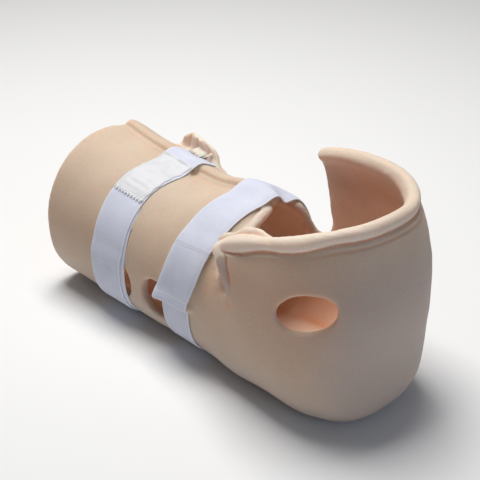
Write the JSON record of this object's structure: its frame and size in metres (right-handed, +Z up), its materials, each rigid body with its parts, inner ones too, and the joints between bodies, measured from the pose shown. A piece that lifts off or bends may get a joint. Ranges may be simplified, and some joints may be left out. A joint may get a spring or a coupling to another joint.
{
  "type": "heel offloading boot",
  "caption": "Soft foam heel offloading boot: a gutter wraps the calf, a tall cup holds the foot clear of the bed, and woven straps close it over the shin and the ankle.",
  "frame": {"origin": "middle of the boot's length and width, on the surface that it rests on", "axes": "+X to the sole, -Y to the side where the straps fasten, +Z up"},
  "size_m": [0.4057, 0.1742, 0.2037],
  "materials": {
    "foam": "soft skinned foam",
    "strap": "brushed loop weave",
    "label": "satin weave"
  },
  "bodies": {
    "root": {"foam_boot": "foam", "calf_strap": "strap", "calf_label": "label", "foot_strap_lower": "strap", "foot_strap_upper": "strap"}
  },
  "joints": []
}
